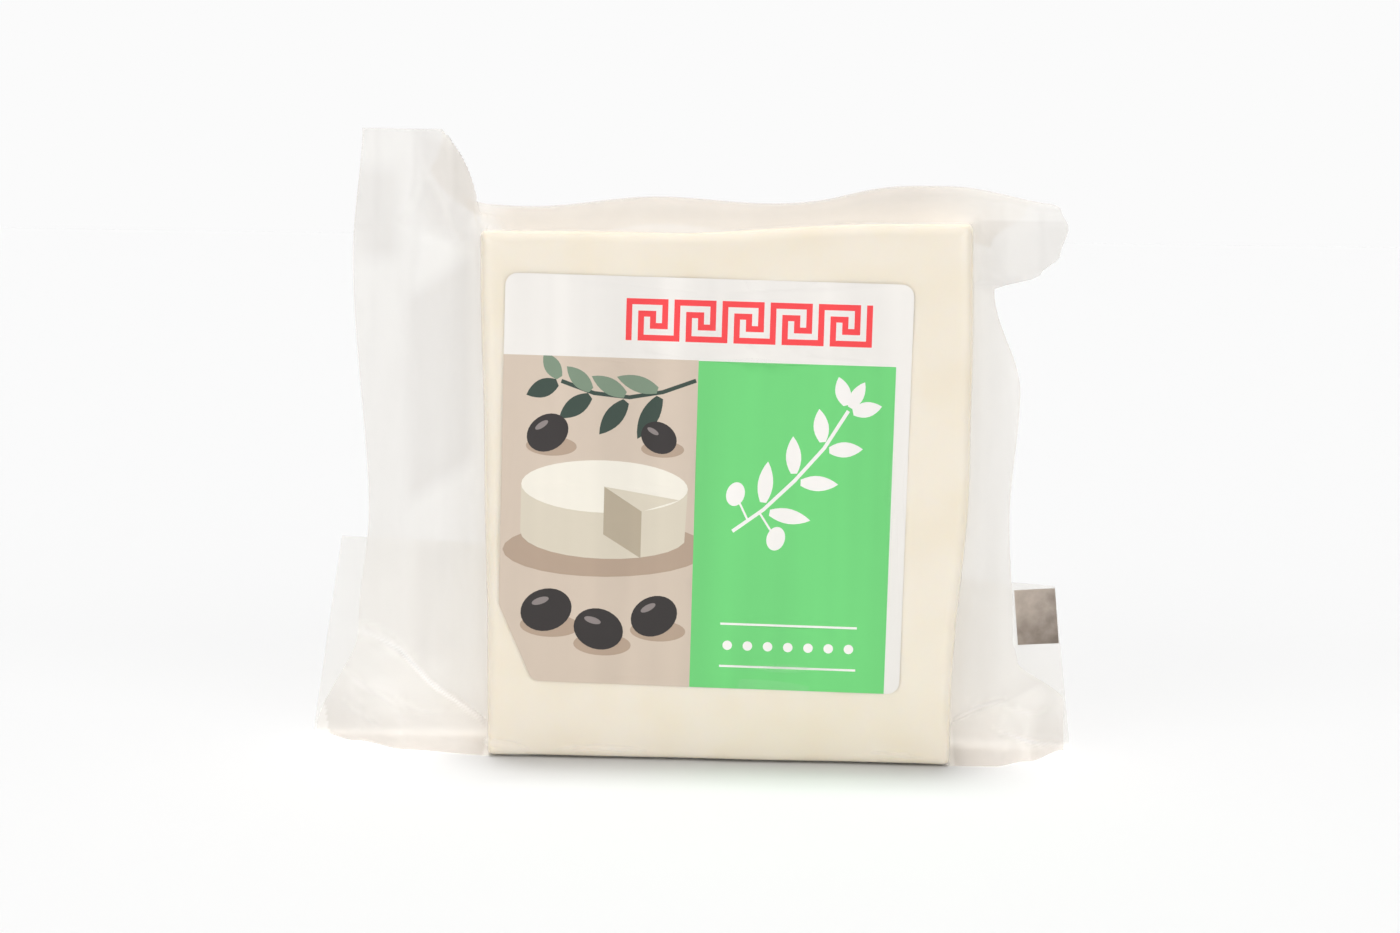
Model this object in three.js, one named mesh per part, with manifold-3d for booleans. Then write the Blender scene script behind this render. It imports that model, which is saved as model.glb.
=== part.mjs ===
// A block of white brined cheese sealed in a clear pouch, standing on its narrow edge.
//
// Millimetres, +Z up. The origin is the middle of the block's flat base. The labelled face looks
// along -Y, and +X is to the right of somebody who reads the label.
//
// The pouch is made from two flat films sealed to each other round the block. The suction pulls
// them tight over the cheese, so block and pouch are one closed body: a rounded block, and round
// it a loose margin that stands out from the middle of its sides. The lower end of the margin is
// tucked under the block and folded up behind it, and the upper end curls back over the top.

import * as THREE from "three";
import { mergeVertices } from "three/addons/utils/BufferGeometryUtils.js";
import Module from "manifold-3d";

const { lerp, clamp, smoothstep, degToRad } = THREE.MathUtils;

// ---------------------------------------------------------------- driving dimensions

const BLOCK = {
  width: 96, // between the sides, before they are drawn in towards the base
  height: 105, // at the left side
  depth: 24,
  edgeRadius: 2.6,
  crown: 0.45, // how far the middle of the front and the back stands proud of their edges
  frontLift: 1.3, // how far the front edge of the base clears the table
};

const FILM = {
  thickness: 0.8, // drawn about five times as thick as the real laminate
  flare: 4.6, // half the depth of the web where the margin meets the block
  flareReach: 2.2, // the distance over which the web narrows to the bare film
  ripple: 1.2, // depth of the upright ripples in the loose margins
  ripplePitch: 17,
};

// The upper end of the pouch, above the block.
const FLANGE = {
  length: 20,
  leftEar: { from: -58.5, to: -46 }, // left of this band the flange stands straight up
  rightEar: { from: 18, to: 42 }, // right of it the flange is folded over sharply
  rise: 1.7, // upright stretch before the curl
  riseWave: 1.2,
  wavePitch: 54,
  curlRadius: 4.2,
  curlAngle: 125,
  slant: 0.45, // how far the fold beside the left ear throws the film sideways, per mm
  earRise: 5.4,
  earDroop: 3.4, // the right ear is this much lower at its tip
  earRadius: 2.1,
  earAngle: 172,
};

// The lower end of the pouch, folded up behind the block.
const FLAP = {
  leftHeight: 40.5,
  rightHeight: 32.4,
  left: { base: -85.5, top: -80 },
  right: { base: 72.4, top: 68.9 },
  behind: 12.5, // the fold's distance behind the middle plane
  lean: 2.6, // how far the free edge leans away from the block
  foldRise: 3.2, // the fold's height above the table behind the block
};

const LABEL = {
  width: 80,
  height: 81,
  centre: { x: -3.6, z: 55.7 },
  turn: -0.9, // degrees, clockwise for the reader
  cornerRadius: 2.4,
  cut: { up: 15.3, along: 7 }, // the lower left corner is cut off
  thickness: 0.3,
};

const MARK = {
  width: 8.4,
  height: 11.4,
  centre: { x: 65.2, z: 26.4 },
  turn: 5,
  cornerRadius: 0.7,
  thickness: 0.25,
};

const CLEARANCE = 0.25; // between the film and what lies on it

// Profiles are short lists of [place, value] knots, joined by smooth steps.
const TOP_PROFILE = [[-12, 0], [34, 2.4]]; // rise of the block's top from left to right
const LEFT_EDGE = [[0, -84.5], [24, -74.2], [48, -72.1], [100, -75.4], [126, -73.3]];
const RIGHT_EDGE = [[0, 70.5], [24, 59], [50, 57.7], [74, 59.2], [94, 53.6], [97.5, 64], [107, 67.8],
  [113, 62], [127, 53]];
// Where the front of the pouch meets the table: [x, y].
const GROUND_LINE = [[-84.5, 7], [-75, -0.5], [-63, -8], [-47, -11.3], [-38, -2], [38, -2], [46, -11.3],
  [55, -11], [62, -6], [70.5, 5]];

// ---------------------------------------------------------------- small helpers

// The value of a profile at a place, held constant past its ends.
function along(knots, place) {
  if (place <= knots[0][0]) return knots[0][1];
  for (let i = 1; i < knots.length; i++) {
    const [start, a] = knots[i - 1];
    const [end, b] = knots[i];
    if (place <= end) return lerp(a, b, smoothstep(place, start, end));
  }
  return knots[knots.length - 1][1];
}

const wasm = await Module();
wasm.setup();

// A closed geometry as a solid for joining.
function toSolid(geometry) {
  const bare = geometry.clone();
  bare.deleteAttribute("normal");
  bare.deleteAttribute("uv");
  const merged = mergeVertices(bare, 1e-4);
  return new wasm.Manifold(
    new wasm.Mesh({
      numProp: 3,
      vertProperties: new Float32Array(merged.attributes.position.array),
      triVerts: new Uint32Array(merged.index.array),
    }),
  );
}

function toGeometry(solid) {
  const mesh = solid.getMesh();
  const geometry = new THREE.BufferGeometry();
  geometry.setAttribute("position", new THREE.BufferAttribute(mesh.vertProperties, 3));
  geometry.setIndex(new THREE.BufferAttribute(mesh.triVerts, 1));
  geometry.computeVertexNormals();
  return geometry;
}

// Gives an open surface a thickness: a copy on each side of it, and a rim along its free edges.
function thicken(surface, halfThickness) {
  surface.computeVertexNormals();
  const { position, normal } = surface.attributes;
  const count = position.count;
  const points = [];
  for (const side of [1, -1]) {
    for (let i = 0; i < count; i++) {
      const reach = side * halfThickness(i);
      points.push(
        position.getX(i) + normal.getX(i) * reach,
        position.getY(i) + normal.getY(i) * reach,
        position.getZ(i) + normal.getZ(i) * reach,
      );
    }
  }
  const faces = [];
  const freeEdges = new Map();
  const triangles = surface.index.array;
  for (let i = 0; i < triangles.length; i += 3) {
    const corners = [triangles[i], triangles[i + 1], triangles[i + 2]];
    faces.push(...corners, corners[2] + count, corners[1] + count, corners[0] + count);
    corners.forEach((from, k) => {
      const to = corners[(k + 1) % 3];
      if (!freeEdges.delete(`${to},${from}`)) freeEdges.set(`${from},${to}`, [from, to]);
    });
  }
  for (const [from, to] of freeEdges.values()) {
    faces.push(from, from + count, to, to, from + count, to + count);
  }
  const closed = new THREE.BufferGeometry();
  closed.setAttribute("position", new THREE.Float32BufferAttribute(points, 3));
  closed.setIndex(faces);
  return closed;
}

// ---------------------------------------------------------------- the block

const topOf = (x) => BLOCK.height + along(TOP_PROFILE, x);
const leftSide = (z) => -46.1 - 2.2 * (Math.max(z, 0) / BLOCK.height) ** 1.2;
const rightSide = (z) => 46 + 2.8 * smoothstep(z, 8, 60) - 0.5 * smoothstep(z, 75, 105);

// Half the block's depth at a point of its front.
function halfDepth(x, z) {
  const across = 1 - clamp(x / 47, -1, 1) ** 2;
  const up = 1 - clamp(z / 53 - 1, -1, 1) ** 2;
  return BLOCK.depth / 2 + BLOCK.crown * across * up;
}

// Grid lines between -half and half, with extra ones round each edge at even angles.
function gridLines(half, edgeSteps, flatSteps) {
  const flat = half - BLOCK.edgeRadius;
  const edge = [];
  for (let i = 1; i <= edgeSteps; i++) {
    edge.push(flat + BLOCK.edgeRadius * Math.tan((degToRad(45) * i) / edgeSteps));
  }
  const middle = [];
  for (let i = 0; i <= flatSteps; i++) middle.push(lerp(-flat, flat, i / flatSteps));
  return [...edge.map((e) => -e).reverse(), ...middle, ...edge];
}

function blockGeometry() {
  const half = [BLOCK.width / 2, BLOCK.depth / 2, BLOCK.height / 2];
  const lines = [gridLines(half[0], 3, 12), gridLines(half[1], 3, 3), gridLines(half[2], 3, 13)];
  const [nx, ny, nz] = lines.map((l) => l.length - 1);
  const geometry = new THREE.BoxGeometry(2, 2, 2, nx, ny, nz);
  const { position } = geometry.attributes;
  const point = new THREE.Vector3();
  for (let i = 0; i < position.count; i++) {
    point.fromBufferAttribute(position, i);
    const placed = point.toArray().map((c, axis) => {
      const list = lines[axis];
      return list[Math.round(((c + 1) / 2) * (list.length - 1))];
    });
    // Round the edges: whatever lies outside the core is drawn in to one radius from it.
    const core = new THREE.Vector3(
      ...placed.map((c, axis) => {
        const flat = half[axis] - BLOCK.edgeRadius;
        return clamp(c, -flat, flat);
      }),
    );
    point.set(...placed).sub(core).setLength(BLOCK.edgeRadius).add(core);
    // Draw the straight box into the block's own uneven outline.
    const share = point.x / BLOCK.width + 0.5;
    const level = point.z / BLOCK.height + 0.5;
    const x = lerp(leftSide(level * BLOCK.height), rightSide(level * BLOCK.height), share);
    const y = (point.y * halfDepth(x, level * BLOCK.height)) / half[1];
    const lift = BLOCK.frontLift * smoothstep(-y, 3, 12) * (1 - smoothstep(level, 0, 0.12))
      * smoothstep(x, -44, -34) * (1 - smoothstep(x, 40, 46));
    position.setXYZ(i, x, y, level * topOf(x) + lift);
  }
  return geometry;
}

// ---------------------------------------------------------------- the pouch

// The middle plane of the loose margins, with soft upright ripples that die out at the block.
function marginY(x, z) {
  const out = x < 0 ? leftSide(z) - x : x - rightSide(z);
  const phase = (2 * Math.PI * out) / FILM.ripplePitch + z / 40;
  return FILM.ripple * smoothstep(out, 0, 9) * Math.sin(phase);
}

// The front sheet at a point below the top of the block: upright, and below a slanting crease
// drawn forward to the line where it meets the table.
function frontSheetY(x, z) {
  const out = Math.max(0, Math.abs(x) - 47);
  const creaseHeight = x < 0 ? 4 + 0.75 * out : 6 + 0.45 * out;
  return lerp(marginY(x, z), along(GROUND_LINE, x), Math.max(0, 1 - z / creaseHeight));
}

// The flange above the block, a distance along it from the block's top.
function flangePoint(x, distance) {
  const upright = 1 - smoothstep(x, FLANGE.leftEar.from, FLANGE.leftEar.to);
  const ear = smoothstep(x, FLANGE.rightEar.from, FLANGE.rightEar.to);
  const wave = FLANGE.riseWave * Math.sin((2 * Math.PI * (x + 27)) / FLANGE.wavePitch);
  const earRise = FLANGE.earRise - FLANGE.earDroop * smoothstep(x, 44, 68);
  const rise = lerp(lerp(FLANGE.rise + wave, earRise, ear), FLANGE.length, upright);
  const radius = lerp(FLANGE.curlRadius, FLANGE.earRadius, ear);
  const angle = degToRad(lerp(lerp(FLANGE.curlAngle, FLANGE.earAngle, ear), 0, upright ** 3));
  const straight = Math.min(distance, rise);
  const turned = clamp((distance - rise) / radius, 0, angle);
  const rest = Math.max(0, distance - rise - radius * angle);
  const back = radius * (1 - Math.cos(turned)) + rest * Math.sin(angle);
  const up = straight + radius * Math.sin(turned) + rest * Math.cos(angle);
  const beside = smoothstep(x, FLANGE.leftEar.from, -50) * (1 - smoothstep(x, -48, -34));
  const aside = FLANGE.slant * beside * Math.max(0, distance - rise);
  return [x - aside, marginY(x, BLOCK.height) + back, topOf(x) + up];
}

const flapBaseY = (x) => FLAP.behind - 3 * smoothstep(Math.abs(x), 58, 84);
const flapHeight = (x) => lerp(FLAP.leftHeight, FLAP.rightHeight, (x + 80) / 150) + lowest;

function flapY(x, z) {
  const outside = smoothstep(Math.abs(x), 48, 60);
  const wave = 0.8 * outside * smoothstep(z, 5, 30) * Math.sin(x / 9);
  return flapBaseY(x) + FLAP.lean * (Math.max(0, z) / 40) ** 1.5 + wave;
}

// The height of the film's middle where it lies on the table beside the block. Behind the block the
// fold sits a little higher, on the block's back.
const lowest = FILM.thickness / 2 + 0.05;
const foldZ = (x) => lowest + FLAP.foldRise * (1 - smoothstep(Math.abs(x), 41, 50));

// The rows of the front sheet, from the free edge of the flange down to the table. Each row gives
// its two ends and its point at any x.
function frontRows() {
  const rows = [];
  const flangeStops = [20, 18.6, 17.1, 15.6, 14.1, 12.7, 11.3, 9.9, 8.6, 7.4, 6.2, 5, 3.8, 2.6, 1.5, 0.6];
  for (const stop of flangeStops) {
    rows.push({
      ends: [along(LEFT_EDGE, topOf(-60) + stop), along(RIGHT_EDGE, topOf(60) + stop)],
      at: (x) => flangePoint(x, stop),
      above: stop,
    });
  }
  const uprightStops = [0.99, 0.968, 0.945, 0.92, 0.906, 0.892, 0.878, 0.85, 0.8, 0.73, 0.65, 0.57, 0.49, 0.41,
    0.33, 0.27];
  for (const stop of uprightStops) {
    const level = stop * BLOCK.height;
    rows.push({
      ends: [along(LEFT_EDGE, stop * topOf(-60)), along(RIGHT_EDGE, stop * topOf(60))],
      at: (x) => [x, frontSheetY(x, level), stop * topOf(x)],
      above: 0,
      level,
    });
  }
  const creased = 24; // the creases of the lower corners lie below this height
  for (const level of [24, 20, 16.5, 13, 10, 7.5, 5.2, 3.2, 1.6, lowest]) {
    const share = (level - lowest) / (creased - lowest);
    rows.push({
      ends: [along(LEFT_EDGE, level), along(RIGHT_EDGE, level)],
      at: (x) => [x, frontSheetY(x, level), lerp(foldZ(x), creased, share)],
      above: 0,
      level,
    });
  }
  return rows;
}

// The rows of the tucked end, from the front of the pouch back along the table and up to the free
// edge of the flap.
function flapRows() {
  const rows = [];
  for (const share of [0, 0.3, 0.65, 0.94]) {
    rows.push({
      ends: [
        lerp(along(LEFT_EDGE, 0), FLAP.left.base, share),
        lerp(along(RIGHT_EDGE, 0), FLAP.right.base, share),
      ],
      at: (x) => [x, lerp(along(GROUND_LINE, x), flapBaseY(x), share), foldZ(x)],
      above: 0,
      level: 0,
    });
  }
  for (const share of [0.025, 0.1, 0.25, 0.42, 0.6, 0.8, 1]) {
    rows.push({
      ends: [
        lerp(FLAP.left.base, FLAP.left.top, share),
        lerp(FLAP.right.base, FLAP.right.top, share),
      ],
      at: (x) => [x, flapY(x, share * flapHeight(x)), lerp(foldZ(x), flapHeight(x), share)],
      above: 0,
      level: 0,
    });
  }
  return rows;
}

const LEFT_COLUMNS = 12;
const BLOCK_COLUMNS = 12;
const RIGHT_COLUMNS = 6;
const COLUMNS = LEFT_COLUMNS + BLOCK_COLUMNS + RIGHT_COLUMNS;
const INNER = 44; // the columns inside the block end this far from the middle

// The place of a column in a row that runs between two ends: close together near the block.
function columnX(column, [left, right]) {
  if (column < LEFT_COLUMNS) {
    return lerp(-INNER, left, ((LEFT_COLUMNS - column) / LEFT_COLUMNS) ** 1.5);
  }
  const past = column - LEFT_COLUMNS - BLOCK_COLUMNS;
  if (past > 0) return lerp(INNER, right, (past / RIGHT_COLUMNS) ** 1.35);
  return lerp(-INNER, INNER, (column - LEFT_COLUMNS) / BLOCK_COLUMNS);
}

// Half the film's thickness. It widens into a web where the margin meets the block, but not near
// the table, and not where the film lies behind the block.
function filmHalf(x, row) {
  const beside = Math.max(0, x < 0 ? leftSide(row.level ?? BLOCK.height) - x
    : x - rightSide(row.level ?? BLOCK.height));
  const away = Math.hypot(beside, row.above);
  const clear = row.level === undefined ? 1 : smoothstep(row.level, 3, 14);
  return FILM.thickness / 2 + FILM.flare * Math.exp(-away / FILM.flareReach) * clear;
}

// One film laid over its rows. Its panes are split along the creases, which fall towards the block
// on the left and rise away from it on the right.
function filmGeometry(rows) {
  const sheet = new THREE.PlaneGeometry(1, 1, COLUMNS, rows.length - 1);
  const { position } = sheet.attributes;
  const half = [];
  for (let i = 0; i < position.count; i++) {
    const row = rows[Math.floor(i / (COLUMNS + 1))];
    const x = columnX(i % (COLUMNS + 1), row.ends);
    position.setXYZ(i, ...row.at(x));
    half.push(filmHalf(x, row));
  }
  const faces = [];
  for (let row = 0; row < rows.length - 1; row++) {
    for (let column = 0; column < COLUMNS; column++) {
      const a = row * (COLUMNS + 1) + column;
      const [b, c, d] = [a + COLUMNS + 1, a + COLUMNS + 2, a + 1];
      if (column < COLUMNS / 2) faces.push(a, b, c, a, c, d);
      else faces.push(a, b, d, b, c, d);
    }
  }
  sheet.setIndex(faces);
  return thicken(sheet, (i) => half[i]);
}

// ---------------------------------------------------------------- what lies on the film

// A flat outline with rounded corners, in points close enough to bend with the film under it.
function roundedOutline(corners, radius, spacing) {
  const points = [];
  corners.forEach((corner, i) => {
    const before = corners[(i + corners.length - 1) % corners.length];
    const after = corners[(i + 1) % corners.length];
    const inward = before.clone().sub(corner).normalize();
    const outward = after.clone().sub(corner).normalize();
    const halfAngle = inward.angleTo(outward) / 2;
    const setBack = radius / Math.tan(halfAngle);
    const centre = inward.clone().add(outward).setLength(radius / Math.sin(halfAngle)).add(corner);
    const start = corner.clone().addScaledVector(inward, setBack).sub(centre);
    const sweep = Math.PI - 2 * halfAngle;
    const steps = Math.max(2, Math.round(sweep / degToRad(25)));
    for (let k = 0; k <= steps; k++) {
      const a = (sweep * k) / steps;
      const turned = start.clone().rotateAround(new THREE.Vector2(), a);
      points.push(turned.add(centre));
    }
    const nextSetBack = radius; // close enough for the number of points between
    const gap = corner.distanceTo(after) - setBack - nextSetBack;
    const extra = Math.floor(gap / spacing);
    const from = points[points.length - 1];
    for (let k = 1; k <= extra; k++) {
      points.push(from.clone().addScaledVector(outward, (gap * k) / (extra + 1)));
    }
  });
  return points;
}

// A thin patch that follows a surface: rings of its outline, drawn in towards the middle.
function patchGeometry({ outline, rings, centre, turn, thickness, surfaceY }) {
  const count = outline.length;
  const origin = new THREE.Vector2();
  const points = [];
  const put = (flat) => {
    const turned = flat.clone().rotateAround(origin, degToRad(turn));
    const x = centre.x + turned.x;
    const z = centre.z + turned.y;
    points.push(x, surfaceY(x, z) - CLEARANCE - thickness / 2, z);
  };
  for (let ring = rings; ring >= 1; ring--) {
    for (const p of outline) put(p.clone().multiplyScalar(ring / rings));
  }
  put(origin);
  const faces = [];
  for (let ring = 0; ring < rings; ring++) {
    for (let i = 0; i < count; i++) {
      const a = ring * count + i;
      const b = ring * count + ((i + 1) % count);
      if (ring === rings - 1) faces.push(a, b, rings * count);
      else faces.push(a, b, b + count, a, b + count, a + count);
    }
  }
  const surface = new THREE.BufferGeometry();
  surface.setAttribute("position", new THREE.Float32BufferAttribute(points, 3));
  surface.setIndex(faces);
  return thicken(surface, () => thickness / 2);
}

function labelGeometry() {
  const [w, h] = [LABEL.width / 2, LABEL.height / 2];
  const corners = [
    new THREE.Vector2(-w + LABEL.cut.along, -h),
    new THREE.Vector2(w, -h),
    new THREE.Vector2(w, h),
    new THREE.Vector2(-w, h),
    new THREE.Vector2(-w, -h + LABEL.cut.up),
  ];
  return patchGeometry({
    outline: roundedOutline(corners, LABEL.cornerRadius, 12),
    rings: 5,
    centre: LABEL.centre,
    turn: LABEL.turn,
    thickness: LABEL.thickness,
    surfaceY: (x, z) => -halfDepth(x, z),
  });
}

function markGeometry() {
  const [w, h] = [MARK.width / 2, MARK.height / 2];
  const corners = [
    new THREE.Vector2(-w, -h),
    new THREE.Vector2(w, -h),
    new THREE.Vector2(w, h),
    new THREE.Vector2(-w, h),
  ];
  return patchGeometry({
    outline: roundedOutline(corners, MARK.cornerRadius, 3),
    rings: 2,
    centre: MARK.centre,
    turn: MARK.turn,
    thickness: MARK.thickness,
    surfaceY: (x, z) => flapY(x, z) - FILM.thickness / 2,
  });
}

// ---------------------------------------------------------------- the pack

function part(name, geometry, color, roughness) {
  const material = new THREE.MeshStandardMaterial({ color, roughness, metalness: 0 });
  const mesh = new THREE.Mesh(geometry, material);
  mesh.name = name;
  return mesh;
}

const pack = new THREE.Group();
const sealedBag = toSolid(blockGeometry())
  .add(toSolid(filmGeometry(frontRows())))
  .add(toSolid(filmGeometry(flapRows())));
pack.add(part("sealed_bag", toGeometry(sealedBag), 0xf3ead9, 0.35));
pack.add(part("label", labelGeometry(), 0xf5f1ed, 0.5));
pack.add(part("eye_mark", markGeometry(), 0x8c8279, 0.45));

export default pack;
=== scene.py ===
# %% [markdown]
# # A block of white cheese in a clear vacuum pouch
#
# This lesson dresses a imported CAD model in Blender. The real object is a brined white cheese in a
# clear pouch. Suction pulls the film tight over the block. The pouch is larger than the block, so
# film stands out loose at both sides, curls back over the top, and is tucked under the base and
# folded up behind. A paper label is glued to the front. All sizes in this file are millimetres
# until a mesh is placed, because that is how the pack is measured. Blender works in metres.

# %% Load the frame
import math

import bpy
import numpy as np
from mathutils import Matrix, Vector, kdtree, noise
from mathutils.geometry import delaunay_2d_cdt


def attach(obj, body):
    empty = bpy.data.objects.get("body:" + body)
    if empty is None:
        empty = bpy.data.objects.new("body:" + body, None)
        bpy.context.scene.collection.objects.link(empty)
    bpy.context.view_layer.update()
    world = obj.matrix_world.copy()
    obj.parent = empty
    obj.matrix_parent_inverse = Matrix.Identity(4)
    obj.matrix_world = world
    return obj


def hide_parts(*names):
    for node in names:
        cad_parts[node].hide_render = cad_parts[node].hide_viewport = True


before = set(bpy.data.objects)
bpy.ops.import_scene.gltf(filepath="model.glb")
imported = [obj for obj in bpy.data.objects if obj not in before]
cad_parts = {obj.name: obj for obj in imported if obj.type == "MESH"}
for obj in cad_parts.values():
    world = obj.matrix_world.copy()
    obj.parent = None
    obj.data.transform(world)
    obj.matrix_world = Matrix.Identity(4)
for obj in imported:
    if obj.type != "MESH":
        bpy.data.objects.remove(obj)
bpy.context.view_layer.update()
MM = 0.001
print("CAD nodes:", sorted(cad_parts))

# %% [markdown]
# ## The camera
#
# The photograph looks at the label almost squarely, from a little above and a little to the
# right, with a long lens. A camera is a matrix: its own right, up and backward directions, and
# the place it stands at. Building that matrix from three angles keeps each of them readable.

# %% The camera
LENS = 60.0
SENSOR_WIDTH = 36.0
PIXELS_PER_MM = 5.08  # scale of the photograph at the label
PHOTO_WIDTH = 1400
PITCH_DOWN = math.radians(5.9)
YAW = math.radians(2.3)
ROLL = math.radians(0.8)
LOOK_AT = Vector((-4.3, -12.5, 59.3))

focal_pixels = LENS / SENSOR_WIDTH * PHOTO_WIDTH
camera_distance = focal_pixels / PIXELS_PER_MM
forward = Vector((
    -math.sin(YAW) * math.cos(PITCH_DOWN),
    math.cos(YAW) * math.cos(PITCH_DOWN),
    -math.sin(PITCH_DOWN),
))
level_right = Vector((math.cos(YAW), math.sin(YAW), 0))
level_up = level_right.cross(forward)
right = level_right * math.cos(ROLL) + level_up * math.sin(ROLL)
up = level_up * math.cos(ROLL) - level_right * math.sin(ROLL)
camera_place = (LOOK_AT - forward * camera_distance) * MM

bpy.ops.object.camera_add()
camera = bpy.context.object
camera.name = "camera"
camera.data.lens = LENS
camera.data.sensor_width = SENSOR_WIDTH
camera.data.clip_start = 0.01
camera.matrix_world = Matrix.Translation(camera_place) @ Matrix((right, up, -forward)).transposed().to_4x4()
bpy.context.scene.camera = camera
print("camera stands", round(camera_distance), "mm from the label")

# %% [markdown]
# ## Small helpers
#
# Operators act on everything that is selected, so each step first deselects all. The outline of
# the pack is written as short lists of [place, value] knots joined by smooth steps, as in its CAD
# solid.

# %% Helpers for meshes
def select_only(piece):
    bpy.ops.object.select_all(action="DESELECT")
    piece.select_set(True)
    bpy.context.view_layer.objects.active = piece


def add_piece(name, add, **settings):
    """A new primitive from one of Blender's add operators, alone in the selection."""
    bpy.ops.object.select_all(action="DESELECT")
    add(**settings)
    piece = bpy.context.object
    piece.name = name
    return piece


def apply_modifier(piece, kind, **settings):
    select_only(piece)
    modifier = piece.modifiers.new(kind.lower(), kind)
    for name, value in settings.items():
        setattr(modifier, name, value)
    bpy.ops.object.modifier_apply(modifier=modifier.name)


def read_points(piece):
    """The vertices of a piece, in millimetres."""
    points = np.zeros(len(piece.data.vertices) * 3)
    piece.data.vertices.foreach_get("co", points)
    return points.reshape(-1, 3) / MM


def write_points(piece, points):
    piece.data.vertices.foreach_set("co", (np.asarray(points) * MM).ravel())
    piece.data.update()


def shade_smooth(piece, sharp_from):
    """Smooth shading, with edges sharp from an angle in degrees on."""
    select_only(piece)
    bpy.ops.object.shade_smooth_by_angle(angle=math.radians(sharp_from))


def triangle_count(piece):
    return sum(len(face.vertices) - 2 for face in piece.data.polygons)


def set_attribute(piece, name, values):
    """One number for each vertex, which materials can read by its name."""
    piece.data.attributes.new(name, "FLOAT", "POINT").data.foreach_set("value", values)


def search_tree(points):
    """Finds the nearest of many points quickly."""
    tree = kdtree.KDTree(len(points))
    for index, point in enumerate(points):
        tree.insert(point, index)
    tree.balance()
    return tree


def smooth(place, start, end):
    share = np.clip((place - start) / (end - start), 0, 1)
    return share * share * (3 - 2 * share)


def lerp(a, b, share):
    return a + (b - a) * share


def along(knots, place):
    """The value of a profile at a place, held constant past its ends."""
    place = np.asarray(place, float)
    value = np.full(place.shape, float(knots[0][1]))
    for (start, a), (end, b) in zip(knots, knots[1:]):
        value = np.where(place > start, lerp(a, b, smooth(place, start, end)), value)
    return value


def soft_noise(points, size, seed=0.0):
    """Smooth noise from -1 to 1 at points in mm, with bumps about one size across."""
    shift = Vector((seed, seed * 0.7, seed * 1.3))
    return np.array([noise.noise(Vector(p) / size + shift) for p in points])


# %% Helpers for materials
def linear(hex_colour):
    """An sRGB hex colour as the linear RGBA that shaders use."""
    channels = [int(hex_colour[i:i + 2], 16) / 255 for i in (0, 2, 4)]
    return [c / 12.92 if c <= 0.04045 else ((c + 0.055) / 1.055) ** 2.4 for c in channels] + [1.0]


def add_node(tree, kind, settings=None, links=None):
    """Adds a node. Settings are socket values or properties, links go from a socket to an input."""
    node = tree.nodes.new(kind)
    for name, value in (settings or {}).items():
        if isinstance(name, int) or name in node.inputs:
            node.inputs[name].default_value = value
        else:
            setattr(node, name, value)
    for name, socket in (links or {}).items():
        tree.links.new(socket, node.inputs[name])
    return node


def new_material(name):
    material = bpy.data.materials.new(name)
    material.use_nodes = True
    material.node_tree.nodes.clear()
    return material, material.node_tree


def put_on(piece, material, shader):
    """Ends a material with its output and gives it to a piece."""
    add_node(material.node_tree, "ShaderNodeOutputMaterial", links={"Surface": shader.outputs[0]})
    piece.data.materials.append(material)


# %% [markdown]
# ## The studio
#
# The pack stands in a bright white surround. A floor lit evenly to the horizon melts into the white
# backdrop, so the lights are suns, which don't fall off with distance, and wide angles make them
# soft. The overhead one leans back a little, so the block throws its short shadow towards the
# camera. What the glossy film mirrors is brighter at the back than at the front. That difference
# shows the folds, because clear film in an evenly white room would be invisible. Where floor and
# block meet, an Ambient Occlusion node deepens the floor's shadow. The light that the floor throws
# back on the pack isn't shaded twice: for such rays the floor keeps its plain white.

# %% Floor
WHITE = linear("fbfbfb")
FLOOR_WHITE = linear("f4f4f4")
FLOOR_SHADED = linear("c4c4c4")  # right at the foot of the pack
CONTACT_REACH = 14 * MM  # how far from the pack the floor is still shaded
FLOOR_SIZE = 40.0  # metres, so that it reaches the horizon

floor = add_piece("floor", bpy.ops.mesh.primitive_plane_add, size=FLOOR_SIZE)
paint, tree = new_material("matt_white_paint")
occlusion = add_node(
    tree, "ShaderNodeAmbientOcclusion", {"Distance": CONTACT_REACH, "samples": 12},
)
ray = add_node(tree, "ShaderNodeLightPath")
openness = add_node(
    tree, "ShaderNodeMath", {"operation": "MAXIMUM"},
    {0: occlusion.outputs["AO"], 1: ray.outputs["Is Diffuse Ray"]},
)
floor_tone = add_node(
    tree, "ShaderNodeMix", {"data_type": "RGBA", 6: FLOOR_SHADED, 7: FLOOR_WHITE}, {0: openness.outputs[0]},
)
floor_shader = add_node(tree, "ShaderNodeBsdfDiffuse", links={"Color": floor_tone.outputs[2]})
put_on(floor, paint, floor_shader)

# %% Lights
SUNS = {
    # name: (direction that the light comes from, strength, angle across in degrees)
    "key_overhead": ((-0.02, 0.12, 0.99), 1.86, 15),
    "left_front": ((-0.62, -0.78, 0.06), 1.24, 60),
    "right_front": ((0.64, -0.76, 0.08), 1.20, 60),
}
FILL = 0.36  # diffuse light of the white surround
MIRROR_FRONT, MIRROR_BACK = 0.66, 0.9  # what gloss mirrors of it
for name, (source, strength, width) in SUNS.items():
    sun = add_piece(name, bpy.ops.object.light_add, type="SUN")
    sun.data.energy = strength
    sun.data.angle = math.radians(width)
    sun.rotation_euler = Vector(source).to_track_quat("Z", "Y").to_euler()
    sun.visible_glossy = name != "key_overhead"  # its mirror image would burn out the curled film

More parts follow.
